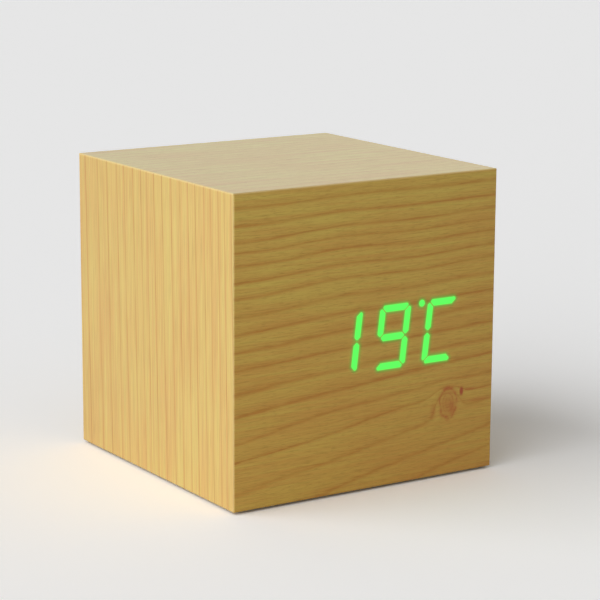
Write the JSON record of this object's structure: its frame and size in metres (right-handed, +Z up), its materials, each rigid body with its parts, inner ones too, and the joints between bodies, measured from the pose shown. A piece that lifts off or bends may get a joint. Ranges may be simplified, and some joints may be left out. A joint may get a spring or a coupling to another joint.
{
  "type": "wooden digital alarm clock",
  "caption": "Cube-shaped wood-veneered alarm clock whose green LED digits shine through the front, with buttons, a power socket and a battery door.",
  "frame": {"origin": "under the middle of the base, on the surface that the clock stands on", "axes": "+Z up, the display looks along -Y, +X to the right of someone who reads it"},
  "size_m": [0.068, 0.068, 0.0685],
  "materials": {
    "wood_veneer": "satin wood-grain veneer",
    "mdf": "raw fibreboard",
    "pine": "raw softwood",
    "foot_rubber": "matt foam rubber",
    "black_steel": "black oxide",
    "zinc_steel": "zinc plated",
    "tinned_metal": "bright tin",
    "white_plastic": "moulded",
    "black_plastic": "fine spark texture",
    "button_grey": "satin",
    "lit_green": "lit",
    "clear_epoxy": "diffused",
    "led_chip": "die",
    "circuit_board": "green solder mask",
    "chip_black": "moulded",
    "capacitor_sleeve": "shrunk sleeve",
    "ribbon_grey": "soft sheath",
    "battery_jacket": "plain foil jacket",
    "red_insulation": "soft sheath",
    "black_insulation": "soft sheath"
  },
  "bodies": {
    "case": {"front_board": "mdf", "top_board": "mdf", "bottom_board": "mdf", "left_board": "mdf", "right_board": "mdf", "back_board": "mdf", "front_veneer": "wood_veneer", "top_veneer": "wood_veneer", "bottom_veneer": "wood_veneer", "left_veneer": "wood_veneer", "right_veneer": "wood_veneer", "back_veneer": "wood_veneer", "rear_edge_band": "wood_veneer", "corner_blocks": "pine", "back_screws": "black_steel", "feet": "foot_rubber", "display_housing": "white_plastic", "lit_segments": "lit_green", "dark_segments": "clear_epoxy", "led_chips": "led_chip", "display_pcb": "circuit_board", "display_pins": "tinned_metal", "main_pcb": "circuit_board", "main_pcb_spacers": "white_plastic", "main_pcb_screws": "zinc_steel", "clock_chip": "chip_black", "led_driver_chip": "chip_black", "crystal": "tinned_metal", "capacitor": "capacitor_sleeve", "resistors": "chip_black", "ribbon_cable": "ribbon_grey", "ribbon_connectors": "white_plastic", "control_plate": "black_plastic", "control_plate_screws": "zinc_steel", "control_pcb": "circuit_board", "control_pcb_screws": "zinc_steel", "set_switch_body": "tinned_metal", "up_switch_body": "tinned_metal", "down_switch_body": "tinned_metal", "power_socket": "black_plastic", "power_socket_pin": "tinned_metal", "buzzer": "chip_black", "microphone": "tinned_metal", "thermistor": "chip_black", "battery_box": "black_plastic", "battery_box_screws": "zinc_steel", "battery_1": "battery_jacket", "battery_2": "battery_jacket", "battery_3": "battery_jacket", "battery_contacts": "tinned_metal", "battery_springs": "tinned_metal", "red_lead": "red_insulation", "black_lead": "black_insulation"},
    "battery_door": {"battery_door": "black_plastic"},
    "set_button": {"set_button": "button_grey", "set_switch_plunger": "chip_black"},
    "up_button": {"up_button": "button_grey", "up_switch_plunger": "chip_black"},
    "down_button": {"down_button": "button_grey", "down_switch_plunger": "chip_black"}
  },
  "joints": [
    {"name": "battery_door_hinge", "type": "hinge", "parent": "case", "child": "battery_door", "pos_m": [0, 0.0107, 0.0018], "axis": [1, 0, 0], "range_deg": [0, 90]},
    {"name": "set_button_press", "type": "slide", "parent": "case", "child": "set_button", "axis": [0, -1, 0], "range_m": [0, 0.0005], "stiffness_N_per_m": 800},
    {"name": "up_button_press", "type": "slide", "parent": "case", "child": "up_button", "axis": [0, -1, 0], "range_m": [0, 0.0005], "stiffness_N_per_m": 800},
    {"name": "down_button_press", "type": "slide", "parent": "case", "child": "down_button", "axis": [0, -1, 0], "range_m": [0, 0.0005], "stiffness_N_per_m": 800}
  ]
}
